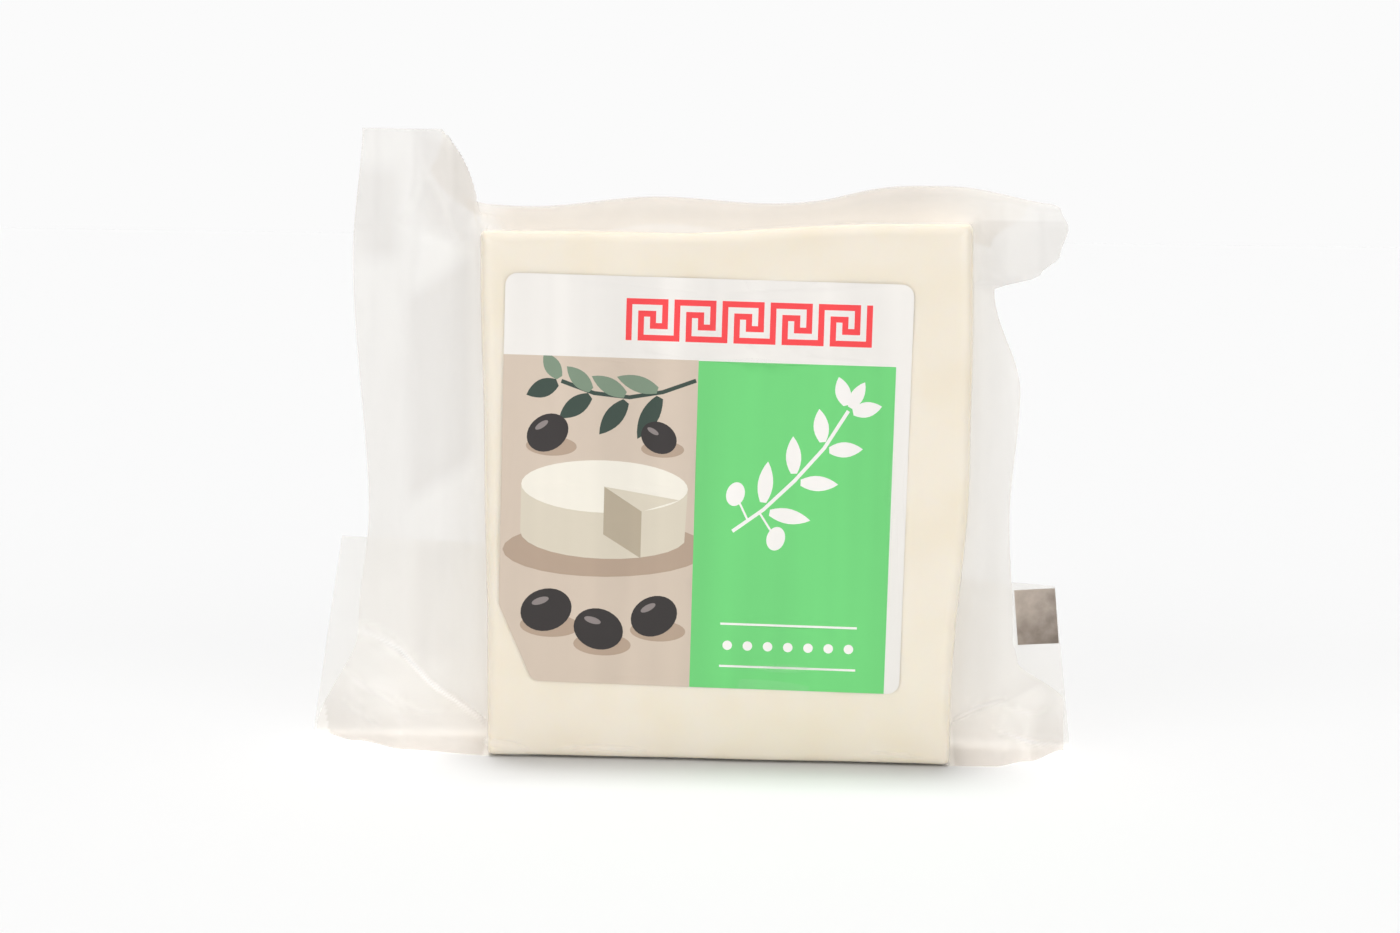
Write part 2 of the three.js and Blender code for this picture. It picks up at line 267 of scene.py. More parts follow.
world = bpy.data.worlds.new("white_surround")
bpy.context.scene.world = world
world.use_nodes = True
tree = world.node_tree
tree.nodes.clear()
direction = add_node(tree, "ShaderNodeTexCoord")
parts = add_node(tree, "ShaderNodeSeparateXYZ", links={0: direction.outputs["Generated"]})
mirror_tone = add_node(
    tree, "ShaderNodeMapRange",
    {"From Min": -1.0, "From Max": 0.6, "To Min": MIRROR_FRONT, "To Max": MIRROR_BACK},
    {"Value": parts.outputs["Y"]},
)
ray = add_node(tree, "ShaderNodeLightPath")
fill = add_node(tree, "ShaderNodeBackground", {"Color": (1, 1, 1, 1), "Strength": FILL})
mirrored = add_node(
    tree, "ShaderNodeBackground", {"Color": (1, 1, 1, 1)}, {"Strength": mirror_tone.outputs[0]},
)
backdrop = add_node(tree, "ShaderNodeBackground", {"Color": WHITE, "Strength": 1.0})
surround = add_node(
    tree, "ShaderNodeMixShader",
    links={0: ray.outputs["Is Glossy Ray"], 1: fill.outputs[0], 2: mirrored.outputs[0]},
)
either = add_node(
    tree, "ShaderNodeMixShader",
    links={0: ray.outputs["Is Camera Ray"], 1: surround.outputs[0], 2: backdrop.outputs[0]},
)
add_node(tree, "ShaderNodeOutputWorld", links={"Surface": either.outputs[0]})

scene = bpy.context.scene
scene.view_settings.view_transform = "Standard"
scene.cycles.transparent_max_bounces = 32  # a ray can cross many layers of clear film
print("lights:", list(SUNS))

# %% [markdown]
# ## The cheese
#
# Brined white cheese is cut into a block and keeps soft, slightly uneven edges. A cube is cut
# into a fine grid with bisect planes that lie close together near its edges. What lies outside
# the flat core is then drawn in to one radius, which rounds all the edges and corners, and the
# straight box is drawn into the block's own outline. A bevel would give even edges, but the
# outline and the soft dents need the grid anyway.

# %% Sizes of the block
BLOCK_WIDTH = 96.0
BLOCK_HEIGHT = 105.0
BLOCK_DEPTH = 24.0
EDGE_RADIUS = 2.6
EDGE_POWER = 2  # 2 rounds an edge like a circle, and more makes it squarer
FOOT_POWER = 5  # at the foot, where the block's weight rests
CORNER_POWER = 6  # at the corners of the outline
EDGE_STEPS = 4  # faces round an edge, from the flat to the corner of the cube
FLAT_STEPS = (56, 11, 62)  # faces across the flat, along x, y and z
CROWN = 0.45  # how far the middle of the front and the back stands proud of their edges
FRONT_LIFT = 0.15  # how far the front edge of the base clears the table
BASE_LIFT = 0.3  # room for the pouch under the block
TOP_PROFILE = [[-12, 0], [34, 2.4]]  # rise of the block's top from left to right


def top_of(x):
    return BLOCK_HEIGHT + along(TOP_PROFILE, x)


def left_side(z):
    return -46.1 - 2.2 * (np.maximum(z, 0) / BLOCK_HEIGHT) ** 1.2


def right_side(z):
    return 46 + 2.8 * smooth(z, 8, 60) - 0.5 * smooth(z, 75, 105)


def half_depth(x, z):
    across = 1 - np.clip(x / 47, -1, 1) ** 2
    upward = 1 - np.clip(z / 53 - 1, -1, 1) ** 2
    return BLOCK_DEPTH / 2 + CROWN * across * upward


def dents(x, z):
    """Soft unevenness of the cut faces, in mm."""
    return (
        0.14 * np.sin(x / 8.3 + 1.1) * np.sin(z / 10.9 + 0.4)
        + 0.10 * np.sin(x / 4.7 - z / 13.1)
        + 0.06 * np.sin(z / 3.9 + 0.8 * np.sin(x / 6.1))
    )


# %% The block, cut into a grid and rounded
def grid_places(half, flat_steps):
    """Where the cut planes go: even on the flat, and at even angles round each edge."""
    flat = half - EDGE_RADIUS
    edge = [flat + EDGE_RADIUS * math.tan(math.radians(45) * i / EDGE_STEPS) for i in range(1, EDGE_STEPS)]
    middle = [lerp(-flat, flat, i / flat_steps) for i in range(flat_steps + 1)]
    return [-e for e in reversed(edge)] + middle + edge


half_size = (BLOCK_WIDTH / 2, BLOCK_DEPTH / 2, BLOCK_HEIGHT / 2)
cheese = add_piece("cheese_block", bpy.ops.mesh.primitive_cube_add, size=1)
cheese.scale = [2 * h * MM for h in half_size]
bpy.ops.object.transform_apply(scale=True)
bpy.ops.object.mode_set(mode="EDIT")
for axis, (half, flat_steps) in enumerate(zip(half_size, FLAT_STEPS)):
    normal = [0, 0, 0]
    normal[axis] = 1
    for place in grid_places(half, flat_steps):
        bpy.ops.mesh.select_all(action="SELECT")
        bpy.ops.mesh.bisect(plane_co=[place * MM * n for n in normal], plane_no=normal)
bpy.ops.object.mode_set(mode="OBJECT")
print("faces of the cut cube:", len(cheese.data.polygons))

# %% Its own outline
cut_cube = read_points(cheese)
core_limit = np.array(half_size) - EDGE_RADIUS
core = np.clip(cut_cube, -core_limit, core_limit)
outward = cut_cube - core
power = lerp(FOOT_POWER, EDGE_POWER, smooth(cut_cube[:, 2:] / BLOCK_HEIGHT + 0.5, 0.01, 0.08))
corner = (np.abs(outward[:, [0, 2]]) ** CORNER_POWER).sum(axis=1, keepdims=True) ** (1 / CORNER_POWER)
reach = (corner ** power + np.abs(outward[:, 1:2]) ** power) ** (1 / power)
rounded = core + outward / np.maximum(reach, 1e-9) * EDGE_RADIUS
share = rounded[:, 0] / BLOCK_WIDTH + 0.5
level = rounded[:, 2] / BLOCK_HEIGHT + 0.5
x = lerp(left_side(level * BLOCK_HEIGHT), right_side(level * BLOCK_HEIGHT), share)
z = level * top_of(x)
facing = rounded[:, 1] / half_size[1]
y = facing * (half_depth(x, level * BLOCK_HEIGHT) + dents(x, z))
lift = (
    FRONT_LIFT * smooth(-rounded[:, 1], 3, 12) * (1 - smooth(level, 0, 0.12))
    * smooth(x, -44, -34) * (1 - smooth(x, 40, 46))
)
x = x + 0.12 * np.sin(z / 6.3) * np.abs(2 * share - 1) ** 6 * np.sign(share - 0.5)
z = z + lift + BASE_LIFT * (1 - smooth(z, 0, 12)) + 0.10 * np.sin(x / 5.9) * level ** 8
write_points(cheese, np.stack([x, y, z], axis=1))
select_only(cheese)
bpy.ops.object.shade_smooth()
print("cheese triangles:", triangle_count(cheese))

# %% [markdown]
# ## The material of the cheese
#
# Feta-type cheese is a wet, dense curd: a warm white that scatters light a little way under its
# surface. It has hardly any grain once film is pressed on it, only a slight mottling where brine
# has collected. The film takes its wet shine away, so its own specular level is low.

# %% Brined curd
CURD_WHITE = linear("f1e8d8")
CURD_DAMP = linear("eee3cd")
CURD_SCATTER = 1.2 * MM  # how far light travels under the surface

curd, tree = new_material("brined_white_curd")
place = add_node(tree, "ShaderNodeTexCoord").outputs["Object"]
patches = add_node(
    tree, "ShaderNodeTexNoise", {"Scale": 1 / (14 * MM), "Detail": 3.0, "Roughness": 0.55},
    {"Vector": place},
)
patch_mask = add_node(
    tree, "ShaderNodeMapRange", {"From Min": 0.42, "From Max": 0.68, "To Min": 0.0, "To Max": 0.8},
    {"Value": patches.outputs[0]},
)
tone = add_node(
    tree, "ShaderNodeMix", {"data_type": "RGBA", 6: CURD_WHITE, 7: CURD_DAMP},
    {0: patch_mask.outputs[0]},
)
grain = add_node(tree, "ShaderNodeTexNoise", {"Scale": 1 / (1.6 * MM), "Detail": 2.0}, {"Vector": place})
grain_bump = add_node(
    tree, "ShaderNodeBump", {"Strength": 0.25, "Distance": 0.08 * MM}, {"Height": grain.outputs[0]},
)
curd_shader = add_node(
    tree, "ShaderNodeBsdfPrincipled",
    {
        "Roughness": 0.55, "IOR": 1.42, "Specular IOR Level": 0.25, "Subsurface Weight": 0.25,
        "Subsurface Scale": CURD_SCATTER, "Subsurface Radius": (1.0, 0.8, 0.5),
    },
    {"Base Color": tone.outputs[2], "Normal": grain_bump.outputs[0]},
)
put_on(cheese, curd, curd_shader)

# %% [markdown]
# ## The film over the block
#
# Where suction holds it, the film is a second skin a fifth of a millimetre thick. A copy of the
# block is swollen along its normals for the outside of that skin, and a second one for its inside.
# The loose film is made next, as one long sheet, and joined to the first. The second is cut out last.

# %% The tight skin
SKIN_GAP = 0.05  # from the cheese to the inside of the film
SKIN_OUTER = 0.24  # to its outside


def swollen_block(name, distance):
    select_only(cheese)
    bpy.ops.object.duplicate()
    copy = bpy.context.object
    copy.name = name
    apply_modifier(copy, "DISPLACE", strength=distance * MM, mid_level=0.0)
    copy.data.materials.clear()
    return copy


film = swollen_block("bag_film", SKIN_OUTER)
hollow = swollen_block("hollow", SKIN_GAP)
print("outside of the film over the block is at", [round(v, 2) for v in read_points(film).min(axis=0)])

# %% [markdown]
# ## The loose film
#
# The pouch is one flat tube of film, so all its loose film is one sheet: from the cut edge that
# curls over the top, down past both sides of the block, under the base, and up behind as a flap.
# A grid is laid along that way, row by row. Folds with a bright line, as creased film has, are
# ridges along short lines. A cloth simulation would lose the exact folds that the photograph
# shows, so the sheet is shaped by functions.

# %% Outline of the pouch
FILM = {"thickness": 0.16, "flare": 4.4, "reach": 2.0, "ripple": 1.2, "pitch": 17}
FLANGE = 20.0  # length of the loose end above the block
TABLE_GAP = 0.2  # height of the middle of the film where it lies on the table
FOLD_RADIUS = 1.0  # at the back, where the film turns up
DOG_EAR = {"x": -74, "z": 108, "radius": 23.8}  # the film is folded over along this circle
LEFT_EDGE = [[0, -84.5], [24, -74.2], [48, -72.1], [100, -75.4], [126, -73.3]]
RIGHT_EDGE = [
    [0, 70.5], [11, 70], [20, 60], [24, 59], [50, 57.7], [74, 59.2], [94.6, 53.4], [97.4, 62.6],
    [101.5, 66.4], [107, 67.8], [110.5, 66.4], [116, 60], [127, 53],
]
GROUND_LINE = [
    [-84.5, 7], [-75, -0.5], [-63, -8], [-47, -11.3], [-38, -2], [38, -2], [46, -11.3],
    [55, -11], [62, -6], [70.5, 5],
]
FLAP = {"left_base": -85.5, "left_top": -80, "right_base": 72.4, "right_top": 68.9}
FLAP_BEHIND = 12.8
FLAP_LEAN = 2.4


def outside(x, z):
    """How far a point of the margin is from the side of the block."""
    return np.where(x < 0, left_side(z) - x, x - right_side(z))


def margin_y(x, z):
    out = outside(x, z)
    return FILM["ripple"] * smooth(out, 0, 9) * np.sin(2 * np.pi * out / FILM["pitch"] + z / 40)


def front_sheet_y(x, z):
    """Upright, and below a slanting crease drawn forward to where it meets the table."""
    out = np.maximum(0, np.abs(x) - 47)
    crease = np.where(x < 0, 4 + 0.75 * out, 6 + 0.45 * out)
    return lerp(margin_y(x, z), along(GROUND_LINE, x), np.maximum(0, 1 - z / crease))


def flange_point(x, distance):
    """The curled end, a distance along the film from the top of the block."""
    ear = smooth(x, 18, 42)
    wave = 1.2 * np.sin(2 * np.pi * (x + 27) / 54)
    ear_rise = 5.4 - 3.4 * smooth(x, 44, 68)
    rise = lerp(1.7 + wave, ear_rise, ear)
    radius = lerp(4.2, 2.1, ear)
    angle = np.radians(lerp(125, 172, ear))
    turned = np.clip((distance - rise) / radius, 0, angle)
    rest = np.maximum(0, distance - rise - radius * angle)
    back = radius * (1 - np.cos(turned)) + rest * np.sin(angle)
    upward = np.minimum(distance, rise) + radius * np.sin(turned) + rest * np.cos(angle)
    return x, margin_y(x, BLOCK_HEIGHT) + back, top_of(x) + upward


def dog_ear_point(x, distance):
    """The upright film at the top left: what lies past the fold is turned over to the left."""
    z = top_of(x) + distance
    dx, dz = x - DOG_EAR["x"], z - DOG_EAR["z"]
    from_centre = np.hypot(dx, dz)
    over = np.maximum(0, from_centre - DOG_EAR["radius"]) * smooth(distance, 0, 6)
    behind = 1.5 * smooth(over, 0, 1.2) + 0.12 * over
    shift = 2 * over / from_centre
    return x - shift * dx, margin_y(x, BLOCK_HEIGHT) + behind, z - shift * dz


def top_film_point(x, distance):
    """The loose end: an upright dog ear on the left that passes into the curled end."""
    curled = smooth(x, -48.5, -41)
    return tuple(lerp(a, b, curled) for a, b in zip(dog_ear_point(x, distance), flange_point(x, distance)))


def flap_base_y(x):
    return FLAP_BEHIND - 3 * smooth(np.abs(x), 58, 84)


def flap_height(x):
    return lerp(40.9, 32.8, (x + 80) / 150)


def flap_y(x, z):
    loose = smooth(np.abs(x), 48, 60)
    wave = 0.8 * loose * smooth(z, 5, 30) * np.sin(x / 9)
    return flap_base_y(x) + FLAP_LEAN * (np.maximum(0, z) / 40) ** 1.5 + wave


# %% Creases, as lines on the film
CREASES = {
    # on the front sheet: points [x, z], height of the ridge, half width, how bright its painted highlight
    # is
    "left_long": ([[-75, 24.2], [-66, 19.1], [-59.6, 13], [-53.4, 8.3], [-46.6, 3.7]], 0.16, 0.42, 1.0),
    "left_long_wide": ([[-77, 25.2], [-70.5, 22], [-63.5, 17.2]], 0.08, 1.3, 0.5),
    "left_low": ([[-79.5, 17.2], [-73, 11.6], [-64.5, 6.8]], 0.12, 0.7, 0.3),
    "left_lowest": ([[-77.2, 8.4], [-69.9, 4]], 0.1, 0.7, 0.25),
    "left_short": ([[-66, 9.5], [-61, 7.6], [-57, 7.2]], 0.1, 0.6, 0.25),
    "right_upper": ([[46.8, 6.9], [52.6, 9.9], [57.8, 12]], 0.14, 0.42, 0.8),
    "right_lower": ([[55.5, 6.5], [62.8, 3.8], [70, 1.6]], 0.14, 0.42, 0.8),
    "right_faint": ([[58, 10.2], [63, 9.2], [66, 9.6]], 0.1, 0.5, 0.4),
    "corner_fold": ([[-66.1, 106], [-54.7, 102.3], [-49.5, 98]], -0.22, 1.4, 0.0),
    "corner_left": ([[-60.9, 116.5], [-63, 111], [-66.1, 106.3]], 0.2, 1.3, 0.15),
    "corner_right": ([[-60.9, 116.5], [-57, 110], [-53.3, 102.4]], 0.25, 1.3, 0.25),
    "right_shoulder": ([[49.2, 105.6], [52.5, 101], [56.3, 96.9]], 0.3, 1.0, 0.0),
}


def nearness(x, z, line, half_width):
    """1 on a crease line, falling to 0 within a few half widths, and fading at its two ends."""
    best = np.zeros_like(x)
    lengths = [math.dist(a, b) for a, b in zip(line, line[1:])]
    total = sum(lengths)
    passed = 0.0
    for (a, b), length in zip(zip(line, line[1:]), lengths):
        ax, az = x - a[0], z - a[1]
        ux, uz = (b[0] - a[0]) / length, (b[1] - a[1]) / length
        along_it = np.clip(ax * ux + az * uz, 0, length)
        away = np.hypot(ax - along_it * ux, az - along_it * uz)
        fade = np.sin(np.pi * np.clip((passed + along_it) / total, 0.04, 0.96)) ** 0.6
        best = np.maximum(best, np.exp(-(away / half_width) ** 2) * fade)
        passed += length
    return best


# %% Rows of the sheet
LEFT_COLUMNS, BLOCK_COLUMNS, RIGHT_COLUMNS = 70, 44, 46
INNER = 44.0
COLUMNS = LEFT_COLUMNS + BLOCK_COLUMNS + RIGHT_COLUMNS
ROWS = {"flange": 34, "upright": 92, "creased": 58, "table": 12, "fold": 4, "flap": 36}
CREASED_BELOW = 24.0


def column_x(left, right):
    """The columns of a row between its two ends."""
    return np.concatenate([
        np.linspace(left, -INNER, LEFT_COLUMNS, endpoint=False),
        np.linspace(-INNER, INNER, BLOCK_COLUMNS, endpoint=False),
        np.linspace(INNER, right, RIGHT_COLUMNS + 1),
    ])


def film_row(part, share):
    """One row: its points, its height for the outline, and the distance above the block."""
    if part == "flange":
        above = FLANGE * (1 - share)
        x = column_x(along(LEFT_EDGE, top_of(-60) + above), along(RIGHT_EDGE, top_of(60) + above))
        return top_film_point(x, above), BLOCK_HEIGHT, above
    if part in ("upright", "creased"):
        start, end = (BLOCK_HEIGHT, CREASED_BELOW) if part == "upright" else (CREASED_BELOW, TABLE_GAP)
        level = lerp(start, end, share)
        stretch = level / BLOCK_HEIGHT
        x = column_x(along(LEFT_EDGE, stretch * top_of(-60)), along(RIGHT_EDGE, stretch * top_of(60)))
        z = TABLE_GAP + (level - TABLE_GAP) * (top_of(x) - TABLE_GAP) / (BLOCK_HEIGHT - TABLE_GAP)
        return (x, front_sheet_y(x, level), z), level, 0.0
    if part == "table":
        x = column_x(
            lerp(along(LEFT_EDGE, 0), FLAP["left_base"], share),
            lerp(along(RIGHT_EDGE, 0), FLAP["right_base"], share),
        )
        y = lerp(along(GROUND_LINE, x), flap_base_y(x) - FOLD_RADIUS, share)
        return (x, y, np.full_like(x, TABLE_GAP)), 0.0, 0.0
    if part == "fold":
        x = column_x(FLAP["left_base"], FLAP["right_base"])
        angle = share * math.pi / 2
        y = flap_base_y(x) - FOLD_RADIUS * (1 - math.sin(angle))
        return (x, y, np.full_like(x, TABLE_GAP + FOLD_RADIUS * (1 - math.cos(angle)))), 0.0, 0.0
    x = column_x(
        lerp(FLAP["left_base"], FLAP["left_top"], share), lerp(FLAP["right_base"], FLAP["right_top"], share)
    )
    z = lerp(TABLE_GAP + FOLD_RADIUS, flap_height(x), share)
    return (x, flap_y(x, z), z), 0.0, 0.0


rows, facts = [], []
for part, count in ROWS.items():
    for i in range(count + (part == "flap")):
        points, level, above = film_row(part, i / count)
        rows.append(np.stack(points, axis=1))
        facts.append((level, above, part))
sheet_points = np.concatenate(rows)
sheet_level, sheet_above, sheet_kind = (np.repeat(fact, COLUMNS + 1) for fact in zip(*facts))
print("rows and columns of the sheet:", len(rows), COLUMNS + 1)

# %% Crumples and creases in the sheet
out = outside(sheet_points[:, 0], np.minimum(sheet_level, BLOCK_HEIGHT))
is_front = np.isin(sheet_kind, ["upright", "creased"])
is_flap, is_flange = sheet_kind == "flap", sheet_kind == "flange"
sheet_z = sheet_points[:, 2]
front_free = smooth(out, 0.5, 6) * smooth(sheet_z, 0.5, 6)
flap_free = smooth(sheet_z, 2, 12) * lerp(0.35, 1.0, smooth(out, 0, 8))
free = np.select([is_front, is_flap, is_flange], [front_free, flap_free, 0.3])
stretched = sheet_points * np.array([1.0, 0.5, 0.55])  # crumples run mostly up and down
crumple = 0.50 * soft_noise(stretched, 13.0, 3.0) + 0.05 * soft_noise(sheet_points, 4.5, 11.0)
# painted highlight: how bright a line each crease draws on the film
fold_highlight = np.zeros(len(sheet_points))
ridge = np.zeros(len(sheet_points))
for line, height, half_width, white in CREASES.values():
    near = nearness(sheet_points[:, 0], sheet_z, line, half_width)
    near = near * (is_front | is_flange) * (sheet_points[:, 1] < 8)
    ridge -= height * near
    fold_highlight = np.maximum(fold_highlight, white * near)
sheet_points[:, 1] += free * crumple + ridge

# %% The sheet gets its thickness
sheet = add_piece(
    "loose_film", bpy.ops.mesh.primitive_grid_add,
    x_subdivisions=COLUMNS, y_subdivisions=len(rows) - 1, size=2,
)
flat = read_points(sheet) * MM
column = np.rint((flat[:, 0] + 1) / 2 * COLUMNS).astype(int)
row = np.rint((1 - flat[:, 1]) / 2 * (len(rows) - 1)).astype(int)
order = row * (COLUMNS + 1) + column
write_points(sheet, sheet_points[order])

beside = np.maximum(0, out)
away = np.hypot(beside, sheet_above)
flared = np.where(is_flange, 1.0, smooth(sheet_level, 3, 14) * is_front)
half_thickness = FILM["thickness"] / 2 + FILM["flare"] * np.exp(-away / FILM["reach"]) * flared
thickest = half_thickness.max()
group = sheet.vertex_groups.new(name="thickness")
for index, weight in enumerate((half_thickness / thickest)[order]):
    group.add([index], float(weight), "REPLACE")
apply_modifier(
    sheet, "SOLIDIFY", thickness=2 * thickest * MM, offset=0.0, vertex_group="thickness",
    use_even_offset=False,
)
print("loose film triangles:", triangle_count(sheet))

# %% [markdown]
# ## Pleats at the foot
#
# At the foot of the front, the film is wider than the block, and the slack is pressed into short
# pleats, with a painted highlight along each. Each starts as a sphere. Its poles are drawn apart along a
# short curve on the front face, its sides are pressed flat, and it is sunk so far that a shallow cap
# stands proud of the film.

# %% Pleats
PLEATS = {
    # three points (x, z) on the front face, half width, height in mm
    "long_left": ([(-34.0, 1.7), (-26, 3.1), (-12.0, 1.9)], 1.0, 0.22),
    "corner_bulge": ([(-47.0, 3.4), (-42.5, 2.2), (-36.0, 1.0)], 1.7, 0.34),
    "right": ([(29.5, 2.7), (34.0, 2.6), (42.0, 1.8)], 0.8, 0.2),
}
# brightness of the painted highlight along a pleat
PLEAT_HIGHLIGHT = 0.3
PLEAT_SUNK, PLEAT_DEEP = 1.2, 2.2  # in heights: how deep the middle lies, and half the thickness


def pack_front(x, z):
    """The outside of the film on the front face."""
    return -(half_depth(x, z / top_of(x) * BLOCK_HEIGHT) + dents(x, z)) - SKIN_OUTER


def add_pleat(name, line, half_width, height):
    pleat = add_piece(
        name, bpy.ops.mesh.primitive_uv_sphere_add, segments=16, ring_count=28, radius=1,
    )
    ball = read_points(pleat) * MM
    start, middle, end = (np.array(p) for p in line)
    t = (ball[:, 2:] + 1) / 2
    way = (1 - t) ** 2 * start + 2 * t * (1 - t) * middle + t ** 2 * end
    run = (1 - t) * (middle - start) + t * (end - middle)
    side = np.stack([-run[:, 1], run[:, 0]], axis=1) / np.linalg.norm(run, axis=1, keepdims=True)
    flat = way + side * ball[:, :1] * half_width
    x, z = flat.T
    depth = pack_front(x, np.maximum(z, 0.6)) + height * (PLEAT_SUNK + PLEAT_DEEP * ball[:, 1])
    write_points(pleat, np.stack([x, depth, z], axis=1))
    return pleat


def combine(piece, other, operation):
    """Boolean of two closed meshes. The second one is used up."""
    apply_modifier(piece, "BOOLEAN", object=other, operation=operation, solver="MANIFOLD")
    bpy.data.objects.remove(other)


for name, settings in PLEATS.items():
    combine(film, add_pleat(name, *settings), "UNION")
print("pleats:", len(PLEATS))

# %% Skin and sheet become one film
combine(film, sheet, "UNION")
combine(film, hollow, "DIFFERENCE")
film.data.materials.clear()
film_points = read_points(film)
film_points[:, 2] = np.maximum(film_points[:, 2], 0.0)
write_points(film, film_points)
shade_smooth(film, 50)
apply_modifier(film, "WEIGHTED_NORMAL", keep_sharp=True)  # slivers left by the joins would show as lines
film.visible_shadow = False  # clear film hardly dims what lies behind it
print("film triangles:", triangle_count(film))

# %% Where the film is loose
FLAP_SHARE = 0.7  # the flap behind is a little clearer
FLAP_REACH = (8, 45)  # the flap lies behind this y and below this z

film_x, film_y, film_z = film_points.T
above_top = film_z - top_of(film_x)
beyond_side = smooth(outside(film_x, film_z), -0.35, 0.05)
beyond_top = smooth(above_top, -0.4, 0.1)
behind_block = smooth(film_y - half_depth(film_x, film_z), 0.35, 0.6)
looseness = np.maximum(np.maximum(beyond_side, beyond_top), behind_block)
on_flap = smooth(film_y, FLAP_REACH[0] - 0.5, FLAP_REACH[0] + 1) * (film_z < FLAP_REACH[1])
set_attribute(film, "loose", looseness * lerp(1.0, FLAP_SHARE, on_flap))

# %% Painted shade where the two films have parted, and where film faces the key light
PANES = {
    # in the margins: middle x and z, half width, half height, how far the top slants per mm, depth of the
    # painted shade
    "upper_left": (-71.0, 108.0, 4.2, 8.5, 0.0, 0.45),
    "dog_ear": (-56.5, 113.5, 5.5, 9.0, -0.5, 0.6),
    "beside_block": (-57.5, 75.0, 6.2, 20.5, 0.65, 0.55),
    "above_crease": (-59.0, 29.5, 3.2, 11.5, 0.2, 0.25),
    "right_tent": (48.5, 17.0, 4.2, 14.0, -0.3, 0.15),
    "right_foot": (63.0, 9.0, 6.5, 6.0, 0.3, 0.25),
}
# painted shade: film that faces the key light is drawn greyer, or it would be lighter than the real one
CURL_GREY, EAR_GREY, FOOT_GREY = 0.55, 0.35, 0.7

# painted shade: each pane darkens the haze where the two films part
painted_film_shade = np.zeros(len(film_x))
for middle_x, middle_z, half_width, half_height, slant, depth in PANES.values():
    sideways = half_width - np.abs(film_x - middle_x)
    upward = half_height - np.abs(film_z - middle_z - slant * (film_x - middle_x))
    pane = smooth(sideways, -2.8, 2.0) * smooth(upward, -3.5, 2.5) * (np.abs(film_y) < 9)
    painted_film_shade = np.maximum(painted_film_shade, depth * pane)
curl = smooth(film_x, -49, -44) * (1 - smooth(film_x, 34, 56)) * (above_top > -0.5)
ear = smooth(film_x, 48, 52) * smooth(film_z, 93, 96) * (above_top < 1)
foot = (1 - smooth(film_z, 1, 14)) * (np.abs(film_x) > 47) * (film_y < 5)
for grey, place in ((CURL_GREY, curl), (EAR_GREY, ear), (FOOT_GREY, foot)):
    painted_film_shade = np.maximum(painted_film_shade, grey * place)
set_attribute(film, "painted_film_shade", painted_film_shade)

# %% Painted highlight where the film is creased
ON_SHEET = 1.2  # a vertex of the film this near to a point of the sheet takes its whiteness

sheet_tree = search_tree(sheet_points)
values = np.zeros(len(film_points))
for index, point in enumerate(film_points):
    _, nearest, distance = sheet_tree.find(point)
    if distance < ON_SHEET:
        values[index] = fold_highlight[nearest]
proud = pack_front(film_x, film_z) - film_y
on_front = (np.abs(film_x) < 46) & (film_z < 9)
# painted highlight along the pleats, where the film stands proud of the front
values = np.maximum(values, PLEAT_HIGHLIGHT * smooth(proud, 0.04, 0.2) * on_front)
set_attribute(film, "crease_highlight", values)
print("creased points:", int((values > 0.1).sum()))

# %% [markdown]
# ## The material of the film
#
# Vacuum pouches are a laminate of polyamide and polyethylene. It is clear, slightly milky where it
# hangs loose, and glossy like all polyethylene. Along sharp folds the milkiness is painted white as a
# highlight. Real refraction in so thin a sheet can't be seen, so light passes straight through, and a
# Fresnel term gives the reflections. The milkiness is a share of diffuse light. Its tone is darkened
# with painted shade where the two films part and where film faces the key light, and its share stays
# even: Cycles guides its denoiser by the first surface that is more than a quarter diffuse, and drew
# lines wherever that share was crossed.

# %% Polyamide and polyethylene laminate
TIGHT_TINT = linear("ffffff")
LOOSE_TINT = linear("fefefd")
TIGHT_HAZE = 0.02  # share of light that the film scatters where it lies wet on the cheese
# painted highlight: the haze share on a crease
LOOSE_HAZE = 0.33  # where it hangs loose
CREASE_HIGHLIGHT_HAZE = 0.80  # on a white crease
TOUCHING_COLOUR = linear("faf7f4")  # where the two films of a margin touch
# painted shade: a greyer haze where the two films part and where film faces the key light
PAINTED_SHADE_COLOUR = linear("dcd6d1")  # where a little air parts them
# the colour of the painted highlight on creases
CREASE_HIGHLIGHT_COLOUR = linear("ffffff")

laminate, tree = new_material("pa_pe_laminate")
place = add_node(tree, "ShaderNodeTexCoord").outputs["Object"]
wrinkle = add_node(
    tree, "ShaderNodeTexNoise", {"Scale": 1 / (3.0 * MM), "Detail": 2.0, "Roughness": 0.5},
    {"Vector": place},
)
wrinkle_bump = add_node(
    tree, "ShaderNodeBump", {"Strength": 0.35, "Distance": 0.12 * MM}, {"Height": wrinkle.outputs[0]},
)
loose, painted_film_shade, crease = (
    add_node(tree, "ShaderNodeAttribute", {"attribute_name": name}).outputs["Fac"]
    for name in ("loose", "painted_film_shade", "crease_highlight")
)
tint = add_node(
    tree, "ShaderNodeMix", {"data_type": "RGBA", 6: TIGHT_TINT, 7: LOOSE_TINT}, {0: loose},
)
clear_shader = add_node(tree, "ShaderNodeBsdfTransparent", links={"Color": tint.outputs[2]})
gloss_shader = add_node(
    tree, "ShaderNodeBsdfGlossy", {"Color": (1, 1, 1, 1), "Roughness": 0.24},
    {"Normal": wrinkle_bump.outputs[0]},
)
facing = add_node(tree, "ShaderNodeLayerWeight", {"Blend": 0.5}, {"Normal": wrinkle_bump.outputs[0]})
edge_on = add_node(
    tree, "ShaderNodeMath", {"operation": "POWER", 1: 5.0}, {0: facing.outputs["Facing"]},
)
fresnel = add_node(
    tree, "ShaderNodeMapRange", {"To Min": 0.04, "To Max": 0.3}, {"Value": edge_on.outputs[0]},
)
